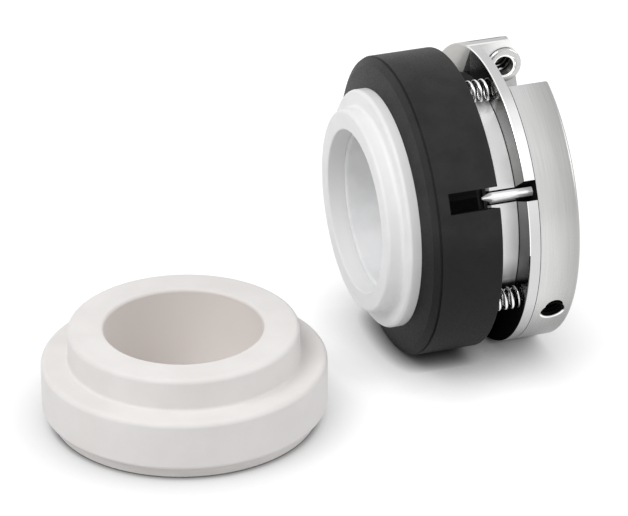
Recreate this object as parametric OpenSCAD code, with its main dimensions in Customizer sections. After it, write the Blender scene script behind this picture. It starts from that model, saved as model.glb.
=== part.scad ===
// Component mechanical seal for a pump shaft, millimetres, +Z up.
// The stationary seat lies flat on its nose with its axis on Z and its underside on Z = 0.
// The rotating head lies beside it on its two rims, with its axis along +X.

/* [Shaft fit] */
// Radius of the shaft that the seal is made for
shaft_r = 19; // [17.5:0.25:21]
// Wall of the bellows tail that the collar clamps on the shaft
tail_wall = 2; // [1.5:0.25:3]
// Clearance of the bellows folds round the shaft
bellows_shaft_gap = 0.5; // [0.3:0.1:1]
// Clearance of the rotating face ring round the shaft
face_shaft_gap = 1.4; // [1:0.1:1.8]
// Clearance of the stationary seat round the shaft
seat_shaft_gap = 0.4; // [0.3:0.1:1.5]

/* [Stationary seat] */
// Wall of the seat's upper boss, which carries the lapped face
seat_boss_wall = 8.9; // [6:0.1:11]
// Step out from the boss to the flange
seat_flange_step = 6.6; // [3:0.1:9]
// Step in from the flange to the nose under it
seat_nose_step = 2.5; // [1.5:0.1:4]
// Height of the nose under the flange
seat_nose_h = 3.2; // [2:0.1:5]
// Height of the flange
seat_flange_h = 12.5; // [6:0.1:16]
// Height of the boss above the flange
seat_boss_h = 8.3; // [4:0.1:12]
// Rounding of the seat's outer edges
seat_edge_r = 1.3; // [0.4:0.1:1.4]
// Rounding of the mouth of the seat's bore
seat_mouth_r = 0.9; // [0.3:0.1:1.4]

/* [Face ring] */
// Radial width of the rotating sealing face
face_width = 5; // [3:0.1:6]
// Height of the face's boss above its flange
face_boss_h = 3.9; // [2:0.1:4.2]
// Step out from the boss to the face ring's flange
face_flange_step = 4.4; // [3:0.1:5]
// Depth of the bore before the bellows lip begins
face_lip_depth = 4.5; // [4.3:0.1:6]
// Overall thickness of the face ring
face_ring_h = 10; // [8:0.1:11]
// Rounding of the face ring's edges
face_edge_r = 0.8; // [0.2:0.1:1]
// How far the face ring's flange stands out of the carrier
face_stand_out = 3; // [2.5:0.1:4]

/* [Carrier ring] */
// Length of the carrier ring
carrier_h = 18.4; // [16.4:0.1:22]
// Axial fall of the carrier's front face, from the face ring out to the bevel
carrier_face_fall = 1.2; // [0:0.1:2]
// Radial width of the bevel on the carrier's front edge
carrier_bevel_w = 2.2; // [1:0.1:3]
// Axial height of the bevel on the carrier's front edge
carrier_bevel_h = 1.1; // [0.6:0.1:3]
// Room left in front of the collar's hub at the end of the head's travel
hub_end_room = 0.6; // [0.2:0.1:2]
// Width of the drive slots
slot_w = 5.2; // [4:0.1:6]
// Length of the drive slots
slot_len = 12.8; // [8:0.1:13.4]
// Running clearance of the carrier round the hub
hub_gap = 0.3; // [0.2:0.05:0.5]

/* [Bellows] */
// Number of folds
folds = 3; // [2:1:3]
// Wall of the folds
fold_wall = 1; // [0.8:0.1:1.2]
// Radial depth of the folds
fold_depth = 7.7; // [5:0.1:9]
// Thickness of the bellows flange behind the face ring
bellows_flange_h = 1.6; // [1:0.1:2.5]
// Radial thickness of the lip inside the face ring
lip_wall = 2.9; // [2.4:0.1:3.4]

/* [Springs and pins] */
// Outside diameter of a spring
spring_od = 5.8; // [4:0.1:6.2]
// Wire diameter of a spring
spring_wire = 0.8; // [0.5:0.05:0.9]
// Turns of a spring, with one closed turn at each end
spring_turns = 7.75; // [6:0.25:9]
// Depth of a spring's pocket in the carrier
carrier_pocket = 4; // [2:0.1:4.6]
// Depth of a spring's seat in the collar's flange
flange_pocket = 1.8; // [1:0.1:2]
// Angle from a drive pin to the spring on each side of it
spring_angle = 50; // [40:1:60]
// Clock angle of the first drive pin, from the top towards the front
pin_clock = 65.5; // [58:0.5:70]
// Diameter of a drive pin
pin_d = 2.2; // [1.5:0.1:3]
// Length of the drive pin's pointed tip
pin_tip_h = 2; // [1:0.1:3]
// How far a drive pin reaches into the carrier's slot
pin_reach = 3.1; // [2:0.1:5]
// How deep a drive pin is pressed into the collar
pin_grip = 6; // [4:0.1:8]

/* [Clamp collar] */
// Gap between the carrier's back and the collar's flange
open_gap = 6.8; // [4:0.1:9]
// Travel of the spring-loaded head towards the collar
travel = 2; // [1:0.1:2]
// Thickness of the collar's flange
flange_h = 2.8; // [2.6:0.1:5]
// Length of the clamping band behind the flange
band_h = 10.5; // [9.8:0.1:14]
// Wall of the hub that reaches into the carrier
hub_wall = 2.5; // [1.5:0.1:3]
// How far the hub reaches into the carrier
hub_reach = 0; // [0:0.1:2]
// Metal outside a spring's pocket, out to the rim
rim_wall = 1.2; // [1:0.1:3]
// Width of the saw cut between the flange and the band
saw_w = 0.15; // [0.1:0.05:0.6]
// Width of the clamp's slit
slit_w = 1; // [0.6:0.1:1.5]
// Width of the flange's notches for the drive pins, at the rim
notch_w = 5; // [3.7:0.1:6]
// Rounding of the band's back edge
band_edge_r = 0.9; // [0.3:0.1:1.2]

/* [Screws] */
// Diameter of the clamp screw's thread
clamp_screw_d = 5; // [4:0.5:5]
// Diameter of the clamp screw's head
clamp_head_d = 9; // [7:0.1:9.2]
// Height of the clamp screw's head
clamp_head_h = 5; // [4:0.1:5.5]
// Diameter of the round recess in the clamp screw's head
clamp_recess_d = 5.4; // [5:0.1:6]
// Width across the flats of the socket at the bottom of the recess
clamp_hex = 4; // [2.5:0.5:4]
// Diameter of a set screw
set_screw_d = 5.4; // [4:0.1:6]
// How far a set screw's socket end lies under the band's surface
set_screw_recess = 3.4; // [0.5:0.1:4]
// Clock angle of the first set screw, from the top towards the front
set_screw_clock = 120; // [105:1:130]
// Angle from the first set screw to the second
set_screw_spacing = 90; // [80:1:100]
// Running clearance round a screw in its hole
screw_gap = 0.05; // [0.02:0.01:0.1]

/* [Arrangement] */
// Gap between the seat and the plane of the head's face
head_gap = 15.7; // [5:0.1:60]
// How far the head's axis lies behind the seat's axis
head_back = 19.4; // [-30:0.1:60]

/* [Hidden] */

// Smoothness of turned surfaces and of an edge rounding
$fn = 96;
arc_steps = 6;

// Clearances between seated pieces
press_gap = 0.02;
slip_gap = 0.05;
spring_gap = 0.2;
tip_gap = 0.2;
web_gap = 0.3;
end_gap = 0.4;

// Chamfers on the edges of turned pieces
edge_break = 0.4;
fine_break = 0.3;

// Radii from the shaft outwards
tail_r = shaft_r + tail_wall;
fold_in_r = shaft_r + bellows_shaft_gap;
fold_out_r = fold_in_r + fold_depth;
face_bore_r = shaft_r + face_shaft_gap;
face_boss_r = face_bore_r + face_width;
face_flange_r = face_boss_r + face_flange_step;
lip_r = fold_in_r + lip_wall;
fold_gap = 0.5;
lip_chamfer = 0.6;
hub_bore_r = fold_out_r + fold_gap;
hub_r = hub_bore_r + hub_wall;
hub_socket_r = hub_r + hub_gap;
pocket_r = spring_od / 2 + spring_gap;
spring_pitch_r = hub_r + hub_gap + spring_od / 2;
rim_r = spring_pitch_r + spring_od / 2 + rim_wall;
pin_r = pin_d / 2;
pin_hub_gap = 1.8;
pin_pitch_r = hub_r + pin_hub_gap + pin_r;
slot_sink = 2;
slot_floor_r = hub_socket_r - slot_sink;
web_r = fold_out_r + web_gap;

// Places along the head's axis, from the sealing face
carrier_front = face_boss_h + face_stand_out;
bevel_front = carrier_front + carrier_face_fall;
carrier_back = carrier_front + carrier_h;
recess_floor = face_ring_h + bellows_flange_h + 2 * slip_gap;
hub_socket_floor = carrier_back - hub_reach - travel - hub_end_room;
hub_front = carrier_back - hub_reach;
flange_front = carrier_back + open_gap;
flange_back = flange_front + flange_h;
band_front = flange_back + saw_w;
saw_middle = flange_back + saw_w / 2;
collar_back = flange_back + band_h;
cavity_wall = 0.7;
cavity_end = flange_front - cavity_wall;
neck_h = 4;
fold_start = recess_floor + neck_h;
fold_end = cavity_end - end_gap;
fold_pitch = (fold_end - fold_start) / folds;
bend_r = fold_pitch / 4;
tail_end = collar_back - end_gap;
spring_front = carrier_back - carrier_pocket;
spring_back = flange_front + flange_pocket;
pin_tip = carrier_back - pin_reach;

// The clamp at the top of the collar: x is up, y is towards the front, z is along the axis
pocket_floor_wall = 2.2;
pocket_floor_x = tail_r + pocket_floor_wall;
pocket_sink = 0.2;
lug_wall_y = -7;
pocket_end_y = 14.2;
clamp_floor_gap = 2.8;
clamp_flange_gap = 2.3;
clamp_head_proud = 0.9;
clamp_head_gap = 0.1;
clamp_x = pocket_floor_x + clamp_floor_gap + clamp_head_d / 2;
clamp_z = flange_back + clamp_flange_gap + clamp_head_d / 2;
clamp_head_y = lug_wall_y + clamp_head_proud;
clamp_shoulder_y = clamp_head_y - clamp_head_h;
clamp_jaw = 1.5;
slit_y = clamp_shoulder_y - clamp_jaw;
lug_relief = 1.9;
lug_heel_x = pocket_floor_x + 1.2;
lug_top_x = sqrt(pow(rim_r, 2) - pow(lug_wall_y, 2));
lug_slope = lug_relief / (lug_top_x - lug_heel_x);
clamp_shank = 6.5;
clamp_end_y = clamp_shoulder_y - clamp_shank;
clamp_recess_h = clamp_head_h * 0.4;
clamp_socket_h = clamp_head_h * 0.3;
lug_end_clock = 8;
saw_from = atan2(slit_y - slit_w / 2, rim_r);
saw_to = lug_end_clock - 360;
pin_groove_w = 3.5;
pin_groove_depth = 0.5;
pin_groove_shift = 0.35;
pin_groove_side = pin_groove_shift - pin_groove_w / 2;
notch_ease = 0.05;
notch_side = pin_groove_side + pin_groove_w + notch_ease;
notch_root_w = pin_groove_w + 2 * notch_ease;
notch_end_w = notch_w + (notch_w - notch_root_w) / (rim_r - hub_r);
set_screw_z = band_front + (collar_back - band_front) / 2;
set_screw_sink = 0.45;
set_screw_flare = 0.3;
sink_h = set_screw_sink + set_screw_flare;

// Seat
seat_bore_r = shaft_r + seat_shaft_gap;
seat_boss_r = seat_bore_r + seat_boss_wall;
seat_flange_r = seat_boss_r + seat_flange_step;
seat_nose_r = seat_flange_r - seat_nose_step;
seat_flange_z = seat_nose_h + seat_flange_h;
seat_top_z = seat_flange_z + seat_boss_h;

// Points of a round corner with centre c, radius r, from angle a to angle b
function arc(c, r, a, b) =
    [for (i = [0 : arc_steps]) c + r * [cos(a + (b - a) * i / arc_steps), sin(a + (b - a) * i / arc_steps)]];

// A list in reverse order
function reversed(list) = [for (i = [len(list) - 1 : -1 : 0]) list[i]];

// Where the head lies
module on_head() {
    translate([seat_flange_r + head_gap, head_back, rim_r])
        rotate([0, 90, 0])
            children();
}

// Turns a child, drawn with +X outwards, to a clock angle from the top towards the front
module at_clock(angle) {
    rotate([0, 0, 180 + angle])
        children();
}

// A ring turned from an outline of [radius, height] points
module turned(outline) {
    rotate_extrude()
        polygon(outline);
}

// The seat's section: nose, flange and boss with rounded edges
function seat_outline() = concat(
    [[seat_bore_r, 0], [seat_nose_r - seat_mouth_r / 2, 0]],
    [[seat_nose_r, seat_mouth_r / 2], [seat_nose_r, seat_nose_h]],
    arc([seat_flange_r - seat_edge_r, seat_nose_h + seat_edge_r], seat_edge_r, -90, 0),
    arc([seat_flange_r - seat_edge_r, seat_flange_z - seat_edge_r], seat_edge_r, 0, 90),
    reversed(arc([seat_boss_r + seat_mouth_r, seat_flange_z + seat_mouth_r], seat_mouth_r, 180, 270)),
    arc([seat_boss_r - seat_edge_r, seat_top_z - seat_edge_r], seat_edge_r, 0, 90),
    arc([seat_bore_r + seat_mouth_r, seat_top_z - seat_mouth_r], seat_mouth_r, 90, 180));

module seat_ring() {
    color("whitesmoke")
        turned(seat_outline());
}

// The face ring's section: narrow boss, wide flange and a counterbore for the bellows lip
function face_outline() = concat(
    arc([face_bore_r + face_edge_r / 2, face_edge_r / 2], face_edge_r / 2, 180, 270),
    arc([face_boss_r - face_edge_r / 2, face_edge_r / 2], face_edge_r / 2, -90, 0),
    reversed(arc([face_boss_r + face_edge_r, face_boss_h - face_edge_r], face_edge_r, 90, 180)),
    arc([face_flange_r - face_edge_r, face_boss_h + face_edge_r], face_edge_r, -90, 0),
    [[face_flange_r, face_ring_h], [lip_r + press_gap, face_ring_h]],
    [[lip_r + press_gap, face_lip_depth - press_gap], [face_bore_r, face_lip_depth - press_gap]]);

module face_ring() {
    color("white")
        on_head()
            turned(face_outline());
}

// The carrier's section: face recess in front, fold room in the middle and hub socket behind
function carrier_outline() = [
    [face_flange_r + press_gap, carrier_front],
    [rim_r - carrier_bevel_w - fine_break, bevel_front - fine_break / 5],
    [rim_r - carrier_bevel_w + fine_break, bevel_front + fine_break / 3],
    [rim_r - fine_break, bevel_front + carrier_bevel_h],
    [rim_r, bevel_front + carrier_bevel_h + edge_break],
    [rim_r, carrier_back - edge_break],
    [rim_r - edge_break, carrier_back],
    [hub_socket_r + edge_break, carrier_back],
    [hub_socket_r, carrier_back - edge_break],
    [hub_socket_r, hub_socket_floor],
    [web_r, hub_socket_floor],
    [web_r, recess_floor],
    [face_flange_r + press_gap, recess_floor]];

// The open-ended slots that the drive pins run in
module drive_slots() {
    for (side = [0, 1])
        at_clock(pin_clock + 180 * side)
            translate([slot_floor_r, -slot_w / 2, carrier_back - slot_len])
                cube([rim_r, slot_w, slot_len + 1]);
}

// Clock angle of spring number i, counted from the top towards the front
function spring_clock(i) =
    pin_clock + 180 * floor(i / 2) + spring_angle * (i % 2 == 0 ? -1 : 1);

// Round pockets for the spring ends, from height z, h deep
module spring_pockets(z, h) {
    for (i = [0 : 3])
        at_clock(spring_clock(i))
            translate([spring_pitch_r, 0, z])
                cylinder(r = pocket_r, h = h, $fn = 48);
}

module carrier_ring() {
    color("dimgray")
        on_head()
            difference() {
                turned(carrier_outline());
                drive_slots();
                spring_pockets(spring_front, carrier_pocket + 1);
            }
}

// One side of the folds, from the front: crests of radius out_bend, roots of radius in_bend
function fold_side(out_bend, in_bend, crest_r, root_r) = concat(
    arc([root_r, fold_start], -in_bend, 0, -90),
    [for (j = [0 : folds - 1]) each concat(
        arc([crest_r, fold_start + (j + 0.5) * fold_pitch], out_bend, -90, 90),
        j < folds - 1 ? arc([root_r, fold_start + (j + 1) * fold_pitch], -in_bend, 90, -90) : [])],
    arc([root_r, fold_end], -in_bend, 90, 0));

// The bellows' section: lip and flange in front, round folds, and the tail under the collar
function bellows_outline() = concat(
    [[face_bore_r, face_lip_depth], [lip_r, face_lip_depth], [lip_r, face_ring_h + slip_gap]],
    [[face_flange_r - slip_gap, face_ring_h + slip_gap]],
    [[face_flange_r - slip_gap, face_ring_h + slip_gap + bellows_flange_h]],
    [[fold_in_r + fold_wall, face_ring_h + slip_gap + bellows_flange_h]],
    fold_side(bend_r + fold_wall / 2, bend_r - fold_wall / 2,
              fold_out_r - fold_wall / 2 - bend_r, fold_in_r + fold_wall / 2 + bend_r),
    [[tail_r - press_gap, cavity_end - fine_break], [tail_r - press_gap, tail_end]],
    [[shaft_r, tail_end], [shaft_r, cavity_end]],
    reversed(fold_side(bend_r - fold_wall / 2, bend_r + fold_wall / 2,
                       fold_out_r - fold_wall / 2 - bend_r, fold_in_r + fold_wall / 2 + bend_r)),
    [[fold_in_r, face_lip_depth + lip_chamfer]]);

module bellows() {
    color("ivory")
        on_head()
            turned(bellows_outline());
}

// The collar's section: hub, flange and band are one turned piece
function collar_outline() = concat(
    [[hub_bore_r, hub_front], [hub_r - fine_break, hub_front], [hub_r, hub_front + fine_break]],
    [[hub_r, flange_front], [rim_r - fine_break, flange_front], [rim_r, flange_front + fine_break]],
    arc([rim_r - band_edge_r, collar_back - band_edge_r], band_edge_r, 0, 90),
    [[tail_r + edge_break, collar_back], [tail_r, collar_back - edge_break]],
    [[tail_r, cavity_end], [hub_bore_r, cavity_end]]);

// The saw cut that frees the band from the flange, all round but for the lug
module saw_cut() {
    at_clock(saw_to)
        translate([0, 0, flange_back])
            rotate_extrude(angle = saw_from - saw_to)
                translate([tail_r - 1, 0])
                    square([rim_r - tail_r + 2, saw_w]);
}

// Flared notches in the flange, shallow grooves in the hub and holes in the band for the drive pins
module pin_cuts() {
    for (side = [0, 1])
        at_clock(pin_clock + 180 * side) {
            translate([0, 0, flange_front - 1])
                linear_extrude(saw_middle - flange_front + 1)
                    polygon([[hub_r, notch_side - notch_root_w], [rim_r + 1, notch_side - notch_end_w],
                             [rim_r + 1, notch_side], [hub_r, notch_side]]);
            translate([hub_r - pin_groove_depth, pin_groove_side, hub_front - 1])
                cube([rim_r, pin_groove_w, saw_middle - hub_front + 1]);
            translate([pin_pitch_r, 0, band_front - 1])
                cylinder(r = pin_r + press_gap, h = pin_grip + 1, $fn = 32);
        }
}

// The milled pocket, the slanting back of the lug, the slit, and the clamp screw's stepped hole
module clamp_cuts() {
    at_clock(0) {
        translate([pocket_floor_x, lug_wall_y, flange_back - pocket_sink])
            cube([rim_r, pocket_end_y - lug_wall_y, band_h + 1]);
        translate([0, lug_wall_y + 1, collar_back + 1])
            rotate([90, 0, 0])
                linear_extrude(lug_wall_y - slit_y + slit_w / 2 + 1)
                    polygon([[lug_heel_x - 1 / lug_slope, 0], [rim_r, 0],
                             [rim_r, -1 - (rim_r - lug_heel_x) * lug_slope]]);
        translate([tail_r / 2, slit_y - slit_w, saw_middle])
            cube([rim_r, slit_w, band_h + 1]);
        translate([clamp_x, 0, clamp_z])
            rotate([90, 0, 0]) {
                translate([0, 0, -lug_wall_y - 1])
                    cylinder(r = clamp_head_d / 2 + clamp_head_gap, h = lug_wall_y - clamp_shoulder_y + 1,
                             $fn = 64);
                translate([0, 0, -lug_wall_y])
                    cylinder(r = clamp_screw_d / 2 + screw_gap, h = rim_r, $fn = 48);
            }
    }
}

// Radial holes for the set screws, countersunk at the band's surface
module set_screw_cuts() {
    for (i = [0, 1])
        at_clock(set_screw_clock + set_screw_spacing * i)
            translate([0, 0, set_screw_z])
                rotate([0, 90, 0]) {
                    translate([0, 0, tail_r - 1])
                        cylinder(r = set_screw_d / 2 + screw_gap, h = rim_r - tail_r + 2, $fn = 48);
                    translate([0, 0, rim_r - set_screw_sink])
                        cylinder(r1 = set_screw_d / 2, r2 = set_screw_d / 2 + sink_h, h = sink_h, $fn = 48);
                }
}

module clamp_collar() {
    color("silver")
        on_head()
            difference() {
                turned(collar_outline());
                spring_pockets(flange_front - 1, flange_pocket + 1);
                saw_cut();
                pin_cuts();
                clamp_cuts();
                set_screw_cuts();
            }
}

// Height of the wire's centre after k turns: one closed turn at each end, open turns between
closed_rise = spring_wire * 1.05;
wire_span = spring_back - spring_front - spring_wire - 2 * slip_gap;
open_rise = (wire_span - 2 * closed_rise) / (spring_turns - 2);
function wire_z(k) =
    k < 1 ? k * closed_rise
    : k > spring_turns - 1 ? wire_span - (spring_turns - k) * closed_rise
    : closed_rise + (k - 1) * open_rise;

// A coil spring: a ring of wire_sides points is swept along the coil
wire_sides = 6;
turn_steps = 14;
wire_rings = ceil(spring_turns * turn_steps);
coil_r = (spring_od - spring_wire) / 2;

function wire_point(i, s) =
    let (turn = 360 * spring_turns * i / wire_rings)
    let (side = 360 * s / wire_sides)
    let (r = coil_r + cos(side) * spring_wire / 2)
    [r * cos(turn), r * sin(turn), wire_z(spring_turns * i / wire_rings) + sin(side) * spring_wire / 2];

module coil() {
    points = [for (i = [0 : wire_rings]) for (s = [0 : wire_sides - 1]) wire_point(i, s)];
    skin = [for (i = [0 : wire_rings - 1]) for (s = [0 : wire_sides - 1])
        let (a = i * wire_sides + s)
        let (b = i * wire_sides + (s + 1) % wire_sides)
        each [[a, a + wire_sides, b], [b, a + wire_sides, b + wire_sides]]];
    first_end = [for (s = [0 : wire_sides - 1]) s];
    last_end = [for (s = [wire_sides - 1 : -1 : 0]) wire_rings * wire_sides + s];
    polyhedron(points, concat([first_end], skin, [last_end]));
}

module spring(i) {
    color("gainsboro")
        on_head()
            at_clock(spring_clock(i))
                translate([spring_pitch_r, 0, spring_front + spring_wire / 2 + slip_gap])
                    coil();
}

// A pointed drive pin, pressed into the band and reaching into the carrier's slot
function pin_outline() = [
    [0, pin_tip],
    [pin_r / 3, pin_tip + tip_gap],
    [pin_r, pin_tip + pin_tip_h],
    [pin_r, band_front + pin_grip - fine_break],
    [pin_r - fine_break, band_front + pin_grip - press_gap],
    [0, band_front + pin_grip - press_gap]];

module drive_pin(side) {
    color("lightgray")
        on_head()
            at_clock(pin_clock + 180 * side)
                translate([pin_pitch_r, 0, 0])
                    turned(pin_outline());
}

// The clamp screw's section: head with a broken rim, shank and chamfered end
screw_chamfer = 0.5;
clamp_screw_l = clamp_head_y - clamp_end_y;
function clamp_screw_outline() = [
    [0, 0],
    [clamp_head_d / 2 - screw_chamfer, 0],
    [clamp_head_d / 2, screw_chamfer],
    [clamp_head_d / 2, clamp_head_h - slip_gap],
    [clamp_screw_d / 2, clamp_head_h - slip_gap],
    [clamp_screw_d / 2, clamp_screw_l - screw_chamfer],
    [clamp_screw_d / 2 - screw_chamfer, clamp_screw_l],
    [0, clamp_screw_l]];

// A hexagon socket, w across its flats, cut from z = 0 to depth h with a drilled cone below
module hex_socket(w, h) {
    translate([0, 0, -1])
        cylinder(d = w / cos(30), h = h + 1, $fn = 6);
    translate([0, 0, h])
        cylinder(d1 = w, d2 = 0, h = w / 4, $fn = 32);
}

module clamp_screw() {
    color("silver")
        on_head()
            at_clock(0)
                translate([clamp_x, clamp_head_y, clamp_z])
                    rotate([90, 0, 0])
                        difference() {
                            turned(clamp_screw_outline());
                            translate([0, 0, -1])
                                cylinder(d = clamp_recess_d, h = clamp_recess_h + 1, $fn = 64);
                            translate([0, 0, clamp_recess_h])
                                hex_socket(clamp_hex, clamp_socket_h);
                        }
}

// A headless set screw with a hexagon socket and a cup point that meets the bellows tail
set_screw_top = rim_r - set_screw_recess;
set_screw_h = set_screw_top - tail_r - tip_gap;
cup_r = set_screw_d / 4 + 0.3;
cup_edge = 0.5;
cup_depth = 0.6;
point_h = set_screw_d / 2 - cup_r;
function set_screw_outline() = [
    [0, 0],
    [set_screw_d / 2 - edge_break, 0],
    [set_screw_d / 2, edge_break],
    [set_screw_d / 2, set_screw_h - point_h],
    [cup_r, set_screw_h],
    [cup_r - cup_edge, set_screw_h],
    [0, set_screw_h - cup_depth]];

module set_screw(i) {
    color("darkgray")
        on_head()
            at_clock(set_screw_clock + set_screw_spacing * i)
                translate([set_screw_top, 0, set_screw_z])
                    rotate([0, -90, 0])
                        difference() {
                            turned(set_screw_outline());
                            hex_socket(set_screw_d / 2, set_screw_d / 2);
                        }
}

seat_ring();
face_ring();
carrier_ring();
bellows();
clamp_collar();
spring(0);  // spring_1
spring(1);  // spring_2
spring(2);  // spring_3
spring(3);  // spring_4
drive_pin(0);  // drive_pin_1
drive_pin(1);  // drive_pin_2
clamp_screw();
set_screw(0);  // set_screw_1
set_screw(1);  // set_screw_2
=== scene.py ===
from functools import partial, reduce
from math import atan2, cos, degrees, pi, radians, sin, sqrt, tan

import bmesh
import bpy
from mathutils import Matrix, Vector

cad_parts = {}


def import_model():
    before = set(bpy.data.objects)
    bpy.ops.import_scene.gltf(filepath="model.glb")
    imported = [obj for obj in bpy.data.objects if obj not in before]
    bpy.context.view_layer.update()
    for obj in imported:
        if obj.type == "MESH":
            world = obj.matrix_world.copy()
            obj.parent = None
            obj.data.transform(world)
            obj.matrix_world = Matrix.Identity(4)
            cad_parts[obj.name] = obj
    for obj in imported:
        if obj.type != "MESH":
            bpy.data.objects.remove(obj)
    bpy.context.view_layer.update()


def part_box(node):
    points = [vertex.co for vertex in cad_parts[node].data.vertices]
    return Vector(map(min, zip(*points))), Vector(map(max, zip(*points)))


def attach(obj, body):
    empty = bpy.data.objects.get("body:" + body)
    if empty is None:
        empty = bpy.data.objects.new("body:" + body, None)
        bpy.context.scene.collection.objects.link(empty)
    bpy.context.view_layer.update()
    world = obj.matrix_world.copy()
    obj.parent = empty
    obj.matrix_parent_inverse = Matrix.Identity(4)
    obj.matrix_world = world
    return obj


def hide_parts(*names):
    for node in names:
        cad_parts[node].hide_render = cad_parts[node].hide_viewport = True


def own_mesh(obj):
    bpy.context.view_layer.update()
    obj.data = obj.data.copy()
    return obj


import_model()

MM = 0.001
RING_STEPS = 240

# Small distances, in millimetres like every length here
SLIP = 0.02     # between parts that are pressed together
GAP = 0.05      # between faces that would otherwise lie on each other
PAST = 1.0      # how far a cutter reaches past what it cuts
SKIN = 0.1      # how far a tone reaches past the surface that it colours
SHARP = 0.1     # over what width a tone changes at an edge
AXIS_R = 1e-6   # below this a radius is the axis itself


def size_of(node):
    """Lowest and highest corner of a CAD node, in millimetres."""
    low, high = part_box(node)
    return low / MM, high / MM


# Stationary seat
SEAT_PLACE = Matrix.Identity(4)
seat_low, seat_high = size_of("seat_ring")
SEAT_FLANGE_R = min(seat_high.x, seat_high.y, -seat_low.x, -seat_low.y)
SEAT_BOSS_R = SEAT_FLANGE_R - 6.6
SEAT_BORE_R = SEAT_BOSS_R - 8.9
SEAT_NOSE_R = SEAT_FLANGE_R - 2.5
SEAT_NOSE_H = 3.2
SEAT_FLANGE_Z = 15.7
SEAT_TOP_Z = seat_high.z

# Where the rotating head lies: x is up, y towards the front and z along its axis
face_low, face_high = size_of("face_ring")
HEAD_X = face_low.x
HEAD_Y = (face_low.y + face_high.y) / 2
HEAD_Z = (face_low.z + face_high.z) / 2
HEAD_PLACE = Matrix((
    (0, 0, 1, HEAD_X * MM),
    (0, -1, 0, HEAD_Y * MM),
    (1, 0, 0, HEAD_Z * MM),
    (0, 0, 0, 1),
))

# Face ring
FACE_FLANGE_R = face_high.z - HEAD_Z
FACE_BOSS_R = FACE_FLANGE_R - 4.4
FACE_BORE_R = FACE_BOSS_R - 5
FACE_BOSS_H = 3.9
FACE_LIP_DEPTH = 4.5
FACE_RING_H = face_high.x - HEAD_X

# Carrier ring
carrier_low, carrier_high = size_of("carrier_ring")
RIM_R = carrier_high.z - HEAD_Z
BEYOND_R = RIM_R + 2
CARRIER_FRONT = carrier_low.x - HEAD_X
CARRIER_BACK = carrier_high.x - HEAD_X
BEVEL_FRONT = CARRIER_FRONT + 1.2
BEVEL_W, BEVEL_H = 2.2, 1.1
LINE_Z = BEVEL_FRONT + BEVEL_H
LINE_DEPTH, LINE_W = 0.5, 0.3
SLOT_W, SLOT_LEN = 5.2, 12.8
TRAVEL = 2.0

# Clamp collar
collar_low, collar_high = size_of("clamp_collar")
HUB_FRONT = collar_low.x - HEAD_X
COLLAR_BACK = collar_high.x - HEAD_X
FLANGE_H = 2.8
FLANGE_FRONT = CARRIER_BACK + 6.8
FLANGE_BACK = FLANGE_FRONT + FLANGE_H
SAW_W = 0.15
BAND_FRONT = FLANGE_BACK + SAW_W
CAVITY_END = FLANGE_FRONT - 0.7
SHAFT_R = 19.0
TAIL_R = SHAFT_R + 2
HUB_R = 30.2
HUB_BORE_R = HUB_R - 2.5
HUB_SOCKET_R = HUB_R + 0.3
HUB_SOCKET_FLOOR = HUB_FRONT - TRAVEL - 0.6
SLOT_FLOOR_R = HUB_SOCKET_R - 2
NOTCH_W = 5.0
GROOVE_W, GROOVE_DEPTH = 3.5, 0.5
GROOVE_SIDE = 0.35 - GROOVE_W / 2
NOTCH_SIDE = GROOVE_SIDE + GROOVE_W + GAP
NOTCH_FLARE = (NOTCH_W - GROOVE_W - 2 * GAP) / (RIM_R - HUB_R)

# Bellows
FOLD_IN_R = SHAFT_R + 0.5
FOLD_OUT_R = FOLD_IN_R + 7.7
LIP_R = FOLD_IN_R + 2.9
WEB_R = FOLD_OUT_R + 0.3
RECESS_FLOOR = FACE_RING_H + 1.7
FOLD_START = RECESS_FLOOR + 4
FOLD_END = CAVITY_END - 0.4
FOLDS = 3
FOLD_WALL = 1.0
LIP_GAP = 0.06
TAIL_END = COLLAR_BACK - 0.4

# Springs and drive pins
PIN_CLOCK = 65.5
PIN_CLOCKS = (PIN_CLOCK, PIN_CLOCK + 180)
SPRING_ANGLE = 50.0
SPRING_OD, SPRING_WIRE, SPRING_TURNS = 5.8, 0.8, 7.75
SPRING_PITCH_R = HUB_SOCKET_R + SPRING_OD / 2
SPRING_FRONT = CARRIER_BACK - 4
SPRING_BACK = FLANGE_FRONT + 1.8
SPRING_POCKET_R = SPRING_OD / 2 + 0.2
SPRING_STARTS = (190.0, -68.0, 0.0, 0.0)
PIN_R = 1.1
PIN_PITCH_R = HUB_R + 1.8 + PIN_R
PIN_TIP = CARRIER_BACK - 3.1
PIN_END = BAND_FRONT + 5.98

# Clamp screw in its pocket at the top of the band
POCKET_FLOOR_X = TAIL_R + 2.2
POCKET_END_Y = 14.2
LUG_WALL_Y = -7.0
LUG_HEEL_X = POCKET_FLOOR_X + 1.2
LUG_SLOPE = 1.9 / (sqrt(RIM_R ** 2 - LUG_WALL_Y ** 2) - LUG_HEEL_X)
CLAMP_HEAD_R, CLAMP_HEAD_H = 4.5, 5.0
CLAMP_X = POCKET_FLOOR_X + 2.8 + CLAMP_HEAD_R
CLAMP_Z = FLANGE_BACK + 2.3 + CLAMP_HEAD_R
CLAMP_HEAD_Y = LUG_WALL_Y + 0.9
CLAMP_SHOULDER_Y = CLAMP_HEAD_Y - CLAMP_HEAD_H
CLAMP_END_Y = CLAMP_SHOULDER_Y - 6.5
CLAMP_SCREW_R = 2.5
CLAMP_RECESS_R, CLAMP_RECESS_H = 2.7, 3.0
CLAMP_PITCH = 0.8
CLAMP_HEX = 4.0
SLIT_Y = CLAMP_SHOULDER_Y - 1.5
SLIT_W = 1.0
SAW_FROM = degrees(atan2(SLIT_Y - SLIT_W / 2, RIM_R))
SAW_TO = 8.0

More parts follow.
